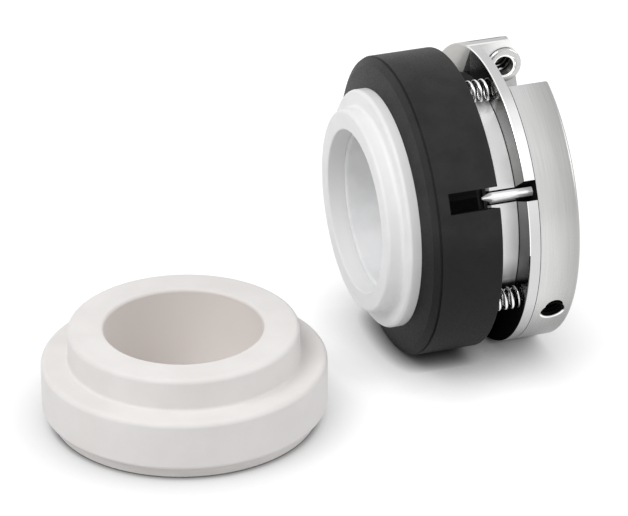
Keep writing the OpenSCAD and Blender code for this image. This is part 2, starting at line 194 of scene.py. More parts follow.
# Set screws
SET_SCREW_CLOCKS = (120.0, 210.0)
SET_SCREW_Z = (BAND_FRONT + COLLAR_BACK) / 2
SET_SCREW_R = 2.7
SET_SCREW_TOP = RIM_R - 3.4
SET_SCREW_END = TAIL_R + 0.2
SET_SCREW_PITCH = 1.0
SPOT_R, SPOT_CLOCK, SPOT_DEPTH = 2.3, 3.1, 1.6


# Outlines and meshes

def rounded(corners, steps=6):
    """A closed outline from corners (radius, height, rounding), each turned into an arc."""
    outline = []
    count = len(corners)
    for i, (x, y, rounding) in enumerate(corners):
        here = Vector((x, y))
        if rounding <= 0:
            outline.append(here)
            continue
        back = (Vector(corners[i - 1][:2]) - here).normalized()
        ahead = (Vector(corners[(i + 1) % count][:2]) - here).normalized()
        half = back.angle(ahead) / 2
        reach = rounding / tan(half)
        centre = here + (back + ahead).normalized() * (rounding / sin(half))
        first = here + back * reach - centre
        last = here + ahead * reach - centre
        turn = atan2(first.x * last.y - first.y * last.x, first.dot(last))
        for k in range(steps + 1):
            angle = turn * k / steps
            outline.append(centre + Matrix.Rotation(angle, 2) @ first)
    return [(p.x, p.y) for p in outline]


def scene_object(name, data):
    """An object in the scene for a mesh, a lamp or a camera."""
    piece = bpy.data.objects.new(name, data)
    bpy.context.scene.collection.objects.link(piece)
    return piece


def from_bmesh(name, bm, place):
    """An object made of bm, which is drawn in millimetres and set down by place."""
    bmesh.ops.recalc_face_normals(bm, faces=bm.faces)
    mesh = bpy.data.meshes.new(name)
    bm.to_mesh(mesh)
    bm.free()
    mesh.transform(place @ Matrix.Scale(MM, 4))
    mesh.update()
    return scene_object(name, mesh)


def ring(bm, radii, z):
    """A loop of vertices round the z axis with a radius for each step, or one vertex on the axis."""
    steps = len(radii)
    if max(radii) < AXIS_R:
        return [bm.verts.new((0, 0, z))] * steps
    loop = []
    for k, r in enumerate(radii):
        angle = 2 * pi * k / steps
        loop.append(bm.verts.new((r * cos(angle), r * sin(angle), z)))
    return loop


def skin(bm, rows, closed=False):
    """Faces between rows of vertices; the last row joins the first, or both ends get a cap."""
    count = len(rows[0])
    for i in range(len(rows) if closed else len(rows) - 1):
        row, after = rows[i], rows[(i + 1) % len(rows)]
        for k in range(count):
            j = (k + 1) % count
            face = list(dict.fromkeys((row[k], row[j], after[j], after[k])))
            if len(face) > 2:
                bm.faces.new(face)
    if not closed:
        bm.faces.new(rows[0])
        bm.faces.new(rows[-1])


def turned(name, outline, place=HEAD_PLACE, steps=RING_STEPS):
    """A ring or a solid turned about the place's z axis from an outline of (radius, height)."""
    bm = bmesh.new()
    skin(bm, [ring(bm, [r] * steps, z) for r, z in outline], closed=True)
    return from_bmesh(name, bm, place)


def block(low, high, place):
    """A box between two corners; like the next solids it only serves as a cutter."""
    bm = bmesh.new()
    bmesh.ops.create_cube(bm, size=1)
    size = [b - a for a, b in zip(low, high)]
    middle = [(a + b) / 2 for a, b in zip(low, high)]
    bmesh.ops.scale(bm, vec=size, verts=bm.verts)
    bmesh.ops.translate(bm, vec=middle, verts=bm.verts)
    return from_bmesh("cutter", bm, place)


def prism(outline, start, end, place):
    """A bar of any section along the place's z axis, from an outline of (x, y)."""
    bm = bmesh.new()
    skin(bm, [[bm.verts.new((x, y, z)) for x, y in outline] for z in (start, end)])
    return from_bmesh("cutter", bm, place)


def rod(low_r, high_r, start, end, place, steps=64):
    """A round bar or cone along the place's z axis."""
    outline = [(0, start), (low_r, start), (high_r, end), (0, end)]
    return turned("cutter", outline, place, steps)


def bore(r, start, end, place, steps=64):
    """A round bar, for a hole."""
    return rod(r, r, start, end, place, steps)


def sector(low_r, high_r, start, end, from_clock, to_clock):
    """Part of a ring about the head's axis, between two clock angles."""
    bm = bmesh.new()
    rows = []
    for k in range(RING_STEPS + 1):
        angle = radians(from_clock + (to_clock - from_clock) * k / RING_STEPS)
        c, s = cos(angle), sin(angle)
        corners = ((low_r, start), (high_r, start), (high_r, end), (low_r, end))
        rows.append([bm.verts.new((r * c, r * s, z)) for r, z in corners])
    skin(bm, rows)
    return from_bmesh("cutter", bm, HEAD_PLACE)


def hexagon(flats, start, end, place):
    """A hexagon bar along the place's z axis."""
    corner_r = flats / 2 / cos(pi / 6)
    return rod(corner_r, corner_r, start, end, place, 6)


def coil(name, radius, wire, turns, start, end, place):
    """A compression spring with a closed turn at each end, along the place's z axis."""
    steps = 40
    sides = 14
    rings = round(turns * steps)
    span = end - start - wire
    closed = wire * 1.05
    pitch = (span - 2 * closed) / (turns - 2)
    bm = bmesh.new()
    rows = []
    for i in range(rings + 1):
        turn = turns * i / rings
        if turn < 1:
            height = turn * closed
        elif turn > turns - 1:
            height = span - (turns - turn) * closed
        else:
            height = closed + (turn - 1) * pitch
        angle = 2 * pi * turn
        c, s = cos(angle), sin(angle)
        row = []
        for k in range(sides):
            side = 2 * pi * k / sides
            r = radius + cos(side) * wire / 2
            z = start + wire / 2 + height + sin(side) * wire / 2
            row.append(bm.verts.new((r * c, r * s, z)))
        rows.append(row)
    skin(bm, rows)
    return from_bmesh(name, bm, place)


def thread(name, inner, outer, pitch, start, end, backing, place, steps=48):
    """A screw thread between two radii; backing is the radius of its closed, unseen side."""
    bm = bmesh.new()
    per_pitch = 8
    slope, flat = 1.35, 0.15
    rows = round((end - start) / pitch * per_pitch)
    loops = []
    for i in range(rows + 1):
        z = start + (end - start) * i / rows
        radii = []
        for k in range(steps):
            phase = (z / pitch + k / steps) % 1
            share = abs(2 * phase - 1)
            radii.append(inner + (outer - inner) * min(1, max(0, slope * share - flat)))
        loops.append(ring(bm, radii, z))
    loops += [ring(bm, [backing] * steps, z) for z in (end, start)]
    skin(bm, loops, closed=True)
    return from_bmesh(name, bm, place)


def applied(piece):
    """Turns the piece's modifiers into mesh."""
    depsgraph = bpy.context.evaluated_depsgraph_get()
    mesh = bpy.data.meshes.new_from_object(piece.evaluated_get(depsgraph))
    mesh.name = piece.name
    piece.modifiers.clear()
    old = piece.data
    piece.data = mesh
    bpy.data.meshes.remove(old)
    return piece


def cut(piece, cutters):
    """Cuts the other solids from the piece."""
    for cutter in cutters:
        modifier = piece.modifiers.new("cut", "BOOLEAN")
        modifier.operation = "DIFFERENCE"
        modifier.solver = "EXACT"
        modifier.object = cutter
        applied(piece)
        bpy.data.objects.remove(cutter)
    return piece


def softened(piece, width):
    """Rounds the piece's edges by a width in millimetres."""
    modifier = piece.modifiers.new("bevel", "BEVEL")
    modifier.width = width * MM
    modifier.segments = 2
    modifier.limit_method = "ANGLE"
    modifier.angle_limit = radians(30)
    modifier.use_clamp_overlap = True
    modifier.miter_outer = "MITER_ARC"
    return applied(piece)


def finished(piece, angle, material):
    """The piece shaded smoothly except across edges sharper than an angle, with its material."""
    for polygon in piece.data.polygons:
        polygon.use_smooth = True
    piece.data.set_sharp_from_angle(angle=radians(angle))
    modifier = piece.modifiers.new("normals", "WEIGHTED_NORMAL")
    modifier.keep_sharp = True
    applied(piece)
    piece.data.materials.append(material)
    return piece


def at_clock(angle):
    """The head's place turned so that x points outwards at that clock angle."""
    return HEAD_PLACE @ Matrix.Rotation(radians(angle), 4, "Z")


def moved(place, x, y, z):
    """A place moved along its own axes."""
    return place @ Matrix.Translation((x * MM, y * MM, z * MM))


def off_axis(clock, r):
    """A place parallel to the head's axis, at a clock angle and a radius."""
    return moved(at_clock(clock), r, 0, 0)


def spring_places(clock):
    """The places of the two springs beside the drive pin at a clock angle."""
    return [off_axis(clock + angle, SPRING_PITCH_R) for angle in (-SPRING_ANGLE, SPRING_ANGLE)]


def across(x, y, z):
    """A place in the head whose z axis runs from front to back, for the clamp screw."""
    return moved(HEAD_PLACE, x, y, z) @ Matrix.Rotation(radians(90), 4, "X")


def inwards(clock, r):
    """A place whose z axis points inwards to the shaft from radius r, for a set screw."""
    return moved(at_clock(clock), r, 0, SET_SCREW_Z) @ Matrix.Rotation(radians(-90), 4, "Y")


# Shader building blocks

def shader(name):
    """A new material with its node tree and main shader."""
    material = bpy.data.materials.new(name)
    material.use_nodes = True
    tree = material.node_tree
    return material, tree, tree.nodes["Principled BSDF"]


def beside(socket, kind):
    """A new node in the tree that a socket belongs to."""
    return socket.id_data.nodes.new("ShaderNode" + kind)


def put(value, target):
    """Links an input to a socket, or sets it to a number or an (r, g, b)."""
    if isinstance(value, bpy.types.NodeSocket):
        target.id_data.links.new(value, target)
    elif isinstance(value, tuple):
        target.default_value = (*value, 1)[:len(target.default_value)]
    else:
        target.default_value = value


def feed(node, **values):
    """Links or sets a node's inputs by name, with _ for a space."""
    for key, value in values.items():
        put(value, node.inputs[key.replace("_", " ")])


def place_vector(tree):
    """The point in the shared frame, in metres."""
    return tree.nodes.new("ShaderNodeTexCoord").outputs["Object"]


def maths(operation, first, second=0.0):
    """A maths node on one or two values, each a socket or a number."""
    node = beside(second if isinstance(first, float) else first, "Math")
    node.operation = operation
    put(first, node.inputs[0])
    put(second, node.inputs[1])
    return node.outputs[0]


times, plus, minus = partial(maths, "MULTIPLY"), partial(maths, "ADD"), partial(maths, "SUBTRACT")
over, most = partial(maths, "DIVIDE"), partial(maths, "MAXIMUM")


def rest(share):
    """What is left of 1 beside a share."""
    return minus(1.0, share)


def grey(tone):
    return (tone, tone, tone)


def row_parts(tree, place, count=3):
    """The point's x, y and z in a place, in metres."""
    local = place.inverted()
    parts = []
    for row in range(count):
        dot = tree.nodes.new("ShaderNodeVectorMath")
        dot.operation = "DOT_PRODUCT"
        put(place_vector(tree), dot.inputs[0])
        dot.inputs[1].default_value = local[row][:3]
        parts.append(plus(dot.outputs["Value"], local[row][3]))
    return parts


def diagonal(x, y):
    """How long two parts at right angles are together."""
    return maths("SQRT", plus(times(x, x), times(y, y)))


def ring_parts(tree, place=HEAD_PLACE):
    """Height along a ring's axis, radius, and the two parts of its direction, in metres."""
    x, y, height = row_parts(tree, place)
    radius = diagonal(x, y)
    return height, radius, over(x, radius), over(y, radius)


def clock_across(tree, clock):
    """Distance round the head from a clock angle, or from the one opposite, in metres."""
    x, y = row_parts(tree, at_clock(clock), 2)
    return times(y, maths("SIGN", x))


def clock_side(tree, clock):
    """Distance to either side of a clock angle or of the one opposite, in metres."""
    return maths("ABSOLUTE", clock_across(tree, clock))


def all_of(*shares):
    """1 where every share is 1."""
    return reduce(times, shares)


def edge_tone(value, place, width, low, high):
    """A tone that goes from low to high over a width about a place, both in millimetres."""
    return spread(value, (place - width / 2) * MM, (place + width / 2) * MM, low, high)


def edge(value, place, width=SHARP):
    """0 below a place in millimetres and 1 above it."""
    return edge_tone(value, place, width, 0, 1)


def before(value, place, width=SHARP):
    """1 below a place in millimetres and 0 above it."""
    return edge_tone(value, place, width, 1, 0)


def within(value, low, high, width=SHARP):
    """1 between two places in millimetres and 0 outside them."""
    return all_of(edge(value, low, width), before(value, high, width))


def close_to(value, place, reach=2 * SKIN):
    """1 within a reach of a place, both in millimetres, and 0 away from it."""
    return within(value, place - reach, place + reach)


def brushing_vector(tree, length):
    """Coordinates for noise that draws marks round the head, shorter with a higher length."""
    height, radius, c, s = ring_parts(tree)
    vector = tree.nodes.new("ShaderNodeCombineXYZ")
    put(plus(height, times(radius, 1.31)), vector.inputs[0])
    put(times(c, length), vector.inputs[1])
    put(times(s, length), vector.inputs[2])
    return vector.outputs[0]


def noise(vector, scale, detail=3.0, roughness=0.55):
    """A noise from 0 to 1, mostly near 0.5; scale is in periods per metre."""
    node = beside(vector, "TexNoise")
    feed(node, Vector=vector, Scale=scale, Detail=detail, Roughness=roughness)
    return node.outputs["Fac"]


def spread(value, low, high, to_low, to_high):
    """Maps a value from one range to another, smoothly and clamped."""
    node = beside(value, "MapRange")
    node.interpolation_type = "SMOOTHSTEP"
    for slot, number in enumerate((value, low, high, to_low, to_high)):
        put(number, node.inputs[slot])
    return node.outputs[0]


def graded(value, low, high):
    """A noise value stretched to run from low to high."""
    return spread(value, 0.3, 0.7, low, high)


def mixed(share, first, second):
    """A colour between two, each a socket or (r, g, b)."""
    node = beside(share, "Mix")
    node.data_type = "RGBA"
    for slot, value in ((0, share), (6, first), (7, second)):
        put(value, node.inputs[slot])
    return node.outputs[2]


def layered(colour, *layers):
    """A colour under layers, each a share and a colour."""
    for share, layer in layers:
        colour = mixed(share, colour, layer)
    return colour


def product(first, second):
    """A colour multiplied by a colour, a value or an (r, g, b)."""
    node = beside(first, "VectorMath")
    node.operation = "MULTIPLY"
    put(first, node.inputs[0])
    put(second, node.inputs[1])
    return node.outputs[0]


def bumped(bsdf, heights, distance):
    """Bumps the surface by a height from 0 to 1 times distance in metres."""
    node = beside(heights, "Bump")
    feed(node, Height=heights, Distance=distance)
    put(node.outputs["Normal"], bsdf.inputs["Normal"])


# Materials

def seat_ceramic():
    """Matt warm white ceramic, with painted warm shade down the bore."""
    material, tree, bsdf = shader("seat_ceramic")
    where = place_vector(tree)
    cloud = noise(where, 90, 4)
    grain = noise(where, 2600, 2)
    body = mixed(graded(cloud, 0, 1), (0.800, 0.775, 0.760), (0.835, 0.812, 0.798))
    radius = ring_parts(tree, SEAT_PLACE)[1]
    # Painted warm shade down the bore
    inside = before(radius, SEAT_BORE_R + 0.3, 0.3)
    colour = mixed(inside, body, (0.82, 0.77, 0.74))
    feed(bsdf, Base_Color=colour, Roughness=graded(grain, 0.42, 0.56), Specular_IOR_Level=0.35)
    bumped(bsdf, grain, 0.00002)
    return material


def face_ceramic():
    """White satin sealing face, with fine lapping marks round the ring and painted shade down the bore.
    """
    material, tree, bsdf = shader("face_white")
    lapping = noise(brushing_vector(tree, 0.004), 2200, 3)
    cloud = noise(place_vector(tree), 110, 3)
    body = mixed(graded(cloud, 0, 1), (0.866, 0.868, 0.870), (0.897, 0.899, 0.901))
    radius = ring_parts(tree)[1]
    # Painted shade: the bore is coloured a little greyer
    inside = before(radius, FACE_BORE_R + 0.2, 0.3)
    colour = mixed(inside, body, (0.850, 0.851, 0.852))
    feed(bsdf, Base_Color=colour, Roughness=graded(lapping, 0.34, 0.46), Specular_IOR_Level=0.4)
    bumped(bsdf, lapping, 0.000004)
    return material


def bellows_plastic():
    """Soft white moulded bellows, with painted black shade round its crests."""
    material, tree, bsdf = shader("bellows_white")
    where = place_vector(tree)
    cloud = noise(where, 160, 4)
    colour = mixed(graded(cloud, 0, 1), (0.780, 0.784, 0.790), (0.840, 0.844, 0.850))
    radius = ring_parts(tree)[1]
    # Painted shade: the outer folds are coloured near black, as a dark recess
    colour = mixed(edge(radius, FOLD_OUT_R - 2.5, 0.4), colour, grey(0.010))
    grain = noise(where, 3000, 2)
    feed(bsdf, Base_Color=colour, Roughness=graded(grain, 0.45, 0.6))
    bumped(bsdf, grain, 0.00001)
    return material


def carrier_plastic():
    """Matt black plastic with a fine moulded grain, with painted shade low on the ring and in the drive
    slots.
    """
    material, tree, bsdf = shader("carrier_black")
    where = place_vector(tree)
    grain = noise(where, 2400, 4, 0.65)
    cloud = noise(where, 140, 3)
    colour = mixed(graded(cloud, 0, 1), (0.017, 0.017, 0.018), (0.025, 0.025, 0.026))
    height, radius, c, s = ring_parts(tree)
    # Painted shade: darker towards the lower side of the ring
    under = by_clock(c, s, ((-180, 0.1), (180, 0.05), (-130, 1.0), (70, 1.0), (100, 0.4), (125, 0.05)))
    # Painted shade in the drive slots, with a painted reflection lighter towards their upper side
    slot = all_of(before(clock_side(tree, PIN_CLOCK), SLOT_W / 2 + SKIN / 2),
                  before(radius, RIM_R - 2 * SKIN), edge(height, CARRIER_BACK - SLOT_LEN - SKIN))
    upper = before(clock_across(tree, PIN_CLOCK), -0.3, 0.5)
    painted_slot_shade = mixed(upper, grey(0.003), grey(0.026))
    colour = mixed(slot, product(colour, under), painted_slot_shade)
    rough = plus(graded(grain, 0.44, 0.60), times(slot, 0.25))
    feed(bsdf, Base_Color=colour, Roughness=rough, Specular_IOR_Level=0.17)
    bumped(bsdf, grain, 0.00003)
    return material


def metal(name, colour, rough_span, mark_scale, mark_length, depth, share=1.0):
    """Smooth metal with fine marks that run round the head's axis; share is how metallic it is."""
    material, tree, bsdf = shader(name)
    marks = noise(brushing_vector(tree, mark_length), mark_scale, 3, 0.5)
    patches = noise(place_vector(tree), 70, 3)
    low = tuple(c * 0.96 for c in colour)
    rough = times(graded(marks, *rough_span), graded(patches, 0.9, 1.1))
    feed(bsdf, Base_Color=mixed(graded(marks, 0, 1), low, colour), Roughness=rough, Metallic=share)
    bumped(bsdf, marks, depth)
    return material, tree, bsdf


def by_clock(c, s, stops):
    """A tone that changes round the head, from stops (clock angle, tone), the two ends first."""
    clock = maths("ARCTAN2", s, c)
    ramp = beside(clock, "ValToRGB")
    ramp.color_ramp.interpolation = "EASE"
    marks = ramp.color_ramp.elements
    for i, (angle, tone) in enumerate(stops):
        mark = marks[i] if i < 2 else marks.new(angle / 360 + 0.5)
        mark.color = (tone, tone, tone, 1)
    put(plus(over(clock, 2 * pi), 0.5), ramp.inputs["Fac"])
    return ramp.outputs["Color"]


def painted_face_light(c, s, x, y):
    """Painted reflections and shade on the turned flange face: a light wedge at the top, then dark, then
    grey down to the lower spring.
    """
    wedge_y, wedge_slope, corner_y = -4.6, 0.62, -5.1
    # Painted reflection and shade of the turned face, as tones by clock angle
    tone = by_clock(c, s, ((-180, 0.05), (180, 0.008), (-120, 0.2), (-80, 0.42), (-40, 0.45), (-12, 0.30),
                           (14, 0.14), (17.5, 0.75), (22.5, 0.60), (25, 0.10), (38, 0.07), (47, 0.10),
                           (55, 0.17), (68, 0.12), (80, 0.045), (92, 0.012), (104, 0.14), (112, 0.12),
                           (115.5, 0.008)))
    slope = times(minus((RIM_R - 3 * SKIN) * MM, x), wedge_slope)
    line = plus(plus(y, -wedge_y * MM), slope)
    # Painted highlight in a wedge and painted shade in the corner beside it
    wedge = before(line, 0, 0.2)
    corner = all_of(edge(line, 0, 0.2), before(y, corner_y, 0.2))
    tone = layered(tone, (corner, (0.012, 0.012, 0.011)), (wedge, grey(0.67)))
    slightly_warm = (1.0, 0.99, 0.955)
    return product(tone, slightly_warm), wedge


def hole_reach(tree, clock, height):
    """Distance from the axis of a hole through the band."""
    return diagonal(clock_side(tree, clock), minus(height, SET_SCREW_Z * MM))


def hole_share(tree, clock, height, radius):
    """Masks: 1 inside a set screw's hole and the spot face above it, where shade is painted, and 1 on the
    lower side of its chamfer, where a highlight is painted.
    """
    wall_w, spot_wall_w, spot_lip = 0.5, 0.2, 0.25
    upper_lip, lower_lip = 0.12, 0.30
    chamfer_from, chamfer_to = 0.22, 0.62
    reach = hole_reach(tree, clock, height)
    spot_reach = hole_reach(tree, clock - SPOT_CLOCK, height)
    ahead = edge(row_parts(tree, at_clock(clock), 1)[0], 0)
    lower = edge(clock_across(tree, clock), 0.6, 0.8)
    lip = plus(times(lower, (upper_lip - lower_lip) * MM), (RIM_R - upper_lip) * MM)
    hole = all_of(before(reach, SET_SCREW_R + wall_w), maths("LESS_THAN", radius, lip))
    spot = all_of(before(spot_reach, SPOT_R + spot_wall_w), before(radius, RIM_R - spot_lip, 0.2))
    inside = most(hole, spot)
    chamfer = within(reach, SET_SCREW_R + chamfer_from, SET_SCREW_R + chamfer_to)
    return all_of(inside, ahead), all_of(chamfer, lower, ahead)


def band_tone(streaks, height, c, s):
    """Brushed steel, with painted shade towards the back and below."""
    brushed = mixed(graded(streaks, 0, 1), (0.600, 0.597, 0.592), (0.645, 0.642, 0.637))
    # Painted shade towards the back of the band and on its lower side
    to_back = spread(height, (BAND_FRONT + 1) * MM, COLLAR_BACK * MM, 1.0, 0.68)
    below = by_clock(c, s, ((-180, 0.7), (180, 0.7), (-60, 1.0), (108, 1.0), (132, 0.74)))
    return product(product(brushed, to_back), below)


def painted_rim_light(height, radius, c, s):
    """The flange's rim, with a painted highlight towards the upper front and painted shade below."""
    rim = all_of(edge(radius, RIM_R - SKIN), before(height, FLANGE_BACK + SKIN / 2))
    # Painted highlight and shade round the rim
    tone = by_clock(c, s, ((-180, 0.45), (180, 0.45), (0, 0.58), (22, 0.62), (36, 0.86), (46, 0.98),
                           (64, 0.98), (68, 0.74), (84, 0.61), (110, 0.62), (128, 0.56), (140, 0.42)))
    return rim, tone


def painted_pocket_light(height, radius, x, y):
    """Painted light on the top of the lug, with painted shade towards its far edge, and on the floor of
    the pocket and the wall behind the clamp screw.
    """
    band = edge(height, FLANGE_BACK + SKIN)
    upper = edge(x, CLAMP_X)
    top = all_of(edge(radius, RIM_R - SKIN), before(y, LUG_WALL_Y + SKIN / 2), upper)
    far_edge = 1.4
    far = before(y, LUG_WALL_Y - far_edge, 0.8)
    along = within(y, LUG_WALL_Y, POCKET_END_Y + SKIN)
    bottom = all_of(close_to(x, POCKET_FLOOR_X, 3 * SKIN), along, band)
    wall = all_of(close_to(y, LUG_WALL_Y, 1.5 * SKIN), upper, band)
    # Painted light on surfaces that lie in shade, and painted shade at the lug's far edge
    return (
        (top, mixed(far, grey(0.90), (0.46, 0.46, 0.455))),
        (bottom, grey(0.98)),
        (wall, (0.90, 0.897, 0.89)),
    )


def painted_hub_light(tree, height, radius, c, s):
    """Painted light and shade on the hub, bright above and nearly black below, and painted shade in its
    groove, darker at both sides.
    """
    hub = all_of(before(radius, HUB_R + SKIN), before(height, FLANGE_FRONT))
    # Painted light above and painted shade below, round the hub
    tone = by_clock(c, s, ((-180, 0.1), (180, 0.012), (-60, 0.05), (13, 0.04), (22, 0.95), (60, 0.95),
                           (95, 0.90), (109.5, 0.50), (113, 0.012)))
    side = clock_across(tree, PIN_CLOCK)
    past_w, shade_w = 0.03, 0.42
    groove = all_of(hub, before(radius, HUB_R - 0.12),
                    within(side, GROOVE_SIDE - past_w, GROOVE_SIDE + GROOVE_W + past_w, 0.04))
    # Painted shade in the groove, darkest along its sides
    middle = within(side, GROOVE_SIDE + shade_w, GROOVE_SIDE + GROOVE_W - shade_w, 0.2)
    return (hub, tone), (groove, mixed(middle, (0.015, 0.015, 0.014), (0.26, 0.257, 0.25)))


def collar_steel():
    """Satin steel, fine brushed outside, with painted reflections and shade on the turned flange face,
    painted light on the hub, rim, lug and pocket, and painted black shade in the notches and holes.
    """
    material, tree, bsdf = shader("collar_steel")
    height, radius, c, s = ring_parts(tree)
    x, y = times(radius, c), times(radius, s)
    streaks = noise(brushing_vector(tree, 0.0010), 2600, 3, 0.6)
    marks = noise(brushing_vector(tree, 0.0020), 9000, 2, 0.5)
    patches = noise(place_vector(tree), 60, 3)

    (hub, painted_hub_tone), (groove, painted_groove_shade) = painted_hub_light(tree, height, radius, c, s)
    face = all_of(edge(radius, HUB_R + SKIN), close_to(height, FLANGE_FRONT))
    painted_face_colour, wedge = painted_face_light(c, s, x, y)
    root_w, edge_w, edge_h = 0.16, 0.25, 0.28
    # Painted shade along the corner where the hub meets the flange
    root = all_of(within(height, FLANGE_FRONT - root_w, FLANGE_FRONT + 2 * SKIN),
                  before(radius, HUB_R + root_w))
    # Painted highlight along the flange's front edge
    front_edge_highlight = all_of(edge(radius, RIM_R - edge_w), before(height, FLANGE_FRONT + edge_h),
                        edge(y, LUG_WALL_Y), edge(x, 0))
    # Painted shade: the notches and the set screws' holes are coloured near black
    black = all_of(before(clock_side(tree, PIN_CLOCK), NOTCH_W * 0.6 + 2 * SKIN),
                   within(height, FLANGE_FRONT + 1.5 * SKIN, BAND_FRONT + 0.5),
                   within(radius, HUB_R - 1, RIM_R - 0.12))
    # Painted highlight on the lower side of each set screw's chamfer
    chamfer_highlights = []
    for clock in SET_SCREW_CLOCKS:
        hole, chamfer_highlight = hole_share(tree, clock, height, radius)
        black = most(black, hole)
        chamfer_highlights.append((chamfer_highlight, grey(0.98)))
    colour = layered(
        band_tone(streaks, height, c, s),
        painted_rim_light(height, radius, c, s),
        *painted_pocket_light(height, radius, x, y),
        (hub, painted_hub_tone),
        (groove, painted_groove_shade),
        (face, painted_face_colour),
        (root, (0.05, 0.05, 0.049)),
        (front_edge_highlight, (0.98, 0.977, 0.97)),
        *chamfer_highlights,
        (black, grey(0.012)),
    )
    rough = times(graded(streaks, 0.27, 0.33), graded(patches, 0.95, 1.05))
    rough = plus(rough, plus(times(hub, 0.10), times(face, -0.12)))
    feed(bsdf, Base_Color=colour, Roughness=rough, Metallic=1.0, Specular_IOR_Level=0.0)

    # Where shade and light are painted the steel turns diffuse, so reflections do not cover them
    below = by_clock(c, s, ((-180, 1), (180, 1), (-150, 0), (114, 0), (118, 1)))
    painted_diffuse = most(black, times(hub, rest(times(painted_hub_tone, 0.6))))
    painted_diffuse = most(painted_diffuse, times(all_of(face, wedge), 0.6))
    painted_diffuse = most(painted_diffuse, times(face, below))
    # Painted light: the hub glows a little with its painted tone
    glow = product(painted_hub_tone, all_of(hub, rest(groove), rest(root)))
    feed(bsdf, Emission_Color=glow, Emission_Strength=0.13, Metallic=rest(painted_diffuse))
    bumped(bsdf, marks, 0.0000003)
    return material


def painted_thread_glints(up, right):
    """Painted glints: bright arcs of a thread down a hole, strongest at the lower left."""
    lean_up, lean_right, drift, pitch = 0.846, -0.534, 0.631, 1.7
    toward = plus(times(up, -lean_up), times(right, -lean_right))
    aside = plus(times(up, lean_right), times(right, -lean_up))
    room = minus((CLAMP_RECESS_R * MM) ** 2, times(aside, aside))
    bow = maths("SQRT", most(room, 0.0))
    turns = over(minus(bow, toward), drift * pitch * MM)
    phase = maths("ABSOLUTE", minus(maths("FRACT", turns), 0.5))
    line = spread(phase, 0.05, 0.15, 1, 0)
    deep = spread(toward, -0.6 * MM, 0.5 * MM, 0.06, 1)
    return all_of(line, deep, edge_tone(aside, 0.9, 1.4, 0.05, 1))


def pin_steel():
    """Ground pin, with a painted glow that is brighter on the side turned to the top of the head."""
    material, tree, bsdf = metal("pin_steel", grey(0.92), (0.16, 0.22), 1500, 0.02, 0.0000001, 0.5)
    # Painted light: a glow, strongest on the upper side
    upper = before(clock_across(tree, PIN_CLOCK), 0.15, 0.12)
    glow = mixed(upper, grey(0.07), grey(0.28))
    feed(bsdf, Emission_Color=glow, Emission_Strength=1.0)
    return material


def spring_steel():
    """Bright drawn wire, with painted shade where it goes into the flange's pockets."""
    material, tree, bsdf = metal("spring_steel", grey(0.90), (0.05, 0.09), 1500, 0.02, 0.0000001)
    bright = bsdf.inputs["Base Color"].links[0].from_socket
    height = ring_parts(tree)[0]
    # Painted shade on the turns inside the pockets
    pocket_shade = edge(height, FLANGE_FRONT - 0.75, 0.3)
    feed(bsdf, Base_Color=mixed(pocket_shade, bright, grey(0.02)))
    return material


def recess_steel(name, place):
    """Screw steel, with painted shade on the head's lower side; its recess has a painted bright lip,
    painted shade inside, a painted black bottom and painted glints of a thread.
    """
    material, tree, bsdf = shader(name)
    depth, reach = ring_parts(tree, place)[:2]
    up, right = row_parts(tree, place)[:2]
    grain = noise(place_vector(tree), 1600, 3)
    body = mixed(graded(grain, 0, 1), (0.53, 0.53, 0.525), (0.60, 0.60, 0.595))
    # Painted shade towards the head's lower side
    body = product(body, edge_tone(up, -3.3, 1.6, 0.40, 1.0))
    # Painted highlight on the lip and painted shade inside the recess and at its bottom
    lip_w = 0.42
    mouth = before(reach, CLAMP_RECESS_R + lip_w, 0.05)
    lip = all_of(mouth, edge(depth, 0.02, 0.04))
    inside = all_of(mouth, edge(depth, 0.4, 0.1))
    bottom = all_of(mouth, edge(depth, CLAMP_RECESS_H - 0.6, 0.8))
    colour = layered(body, (lip, (0.95, 0.947, 0.942)), (inside, (0.05, 0.05, 0.048)),
                     (bottom, (0.014, 0.014, 0.013)))
    rough = graded(grain, 0.14, 0.22)
    feed(bsdf, Base_Color=colour, Roughness=rough, Metallic=1.0, Specular_IOR_Level=0.0)
    # The painted glints glow, and the bottom turns diffuse for its painted black shade
    glint = all_of(bottom, painted_thread_glints(up, right))
    glow = mixed(glint, grey(0.0), (0.80, 0.80, 0.79))
    feed(bsdf, Emission_Color=glow, Emission_Strength=1.0, Metallic=rest(bottom))
    bumped(bsdf, grain, 0.000002)
    return material


# Pieces

def seat_piece():
    """The stationary seat, nose down."""
    outline = rounded([
        (SEAT_BORE_R, 0, 0.05),
        (SEAT_NOSE_R, 0, 0.45),
        (SEAT_NOSE_R, SEAT_NOSE_H, 0),
        (SEAT_FLANGE_R, SEAT_NOSE_H, 1.2),
        (SEAT_FLANGE_R, SEAT_FLANGE_Z, 1.3),
        (SEAT_BOSS_R, SEAT_FLANGE_Z, 0.9),
        (SEAT_BOSS_R, SEAT_TOP_Z, 1.3),
        (SEAT_BORE_R, SEAT_TOP_Z, 0.9),
    ], 8)
    piece = finished(turned("seat", outline, SEAT_PLACE), 50, seat_ceramic())
    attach(piece, "collar")
    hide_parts("seat_ring")


def face_piece():
    """The rotating sealing ring, with the recess behind it for the bellows' lip."""
    outline = rounded([
        (FACE_BORE_R, 0, 0.4),
        (FACE_BOSS_R, 0, 0.9),
        (FACE_BOSS_R, FACE_BOSS_H, 1.0),
        (FACE_FLANGE_R, FACE_BOSS_H, 1.0),
        (FACE_FLANGE_R, FACE_RING_H, 0.1),
        (LIP_R + SLIP, FACE_RING_H, 0.1),
        (LIP_R + SLIP, FACE_LIP_DEPTH, 0.1),
        (FACE_BORE_R, FACE_LIP_DEPTH, 0.15),
    ], 8)
    piece = finished(turned("sealing_face", outline), 50, face_ceramic())
    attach(piece, "head")
    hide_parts("face_ring")


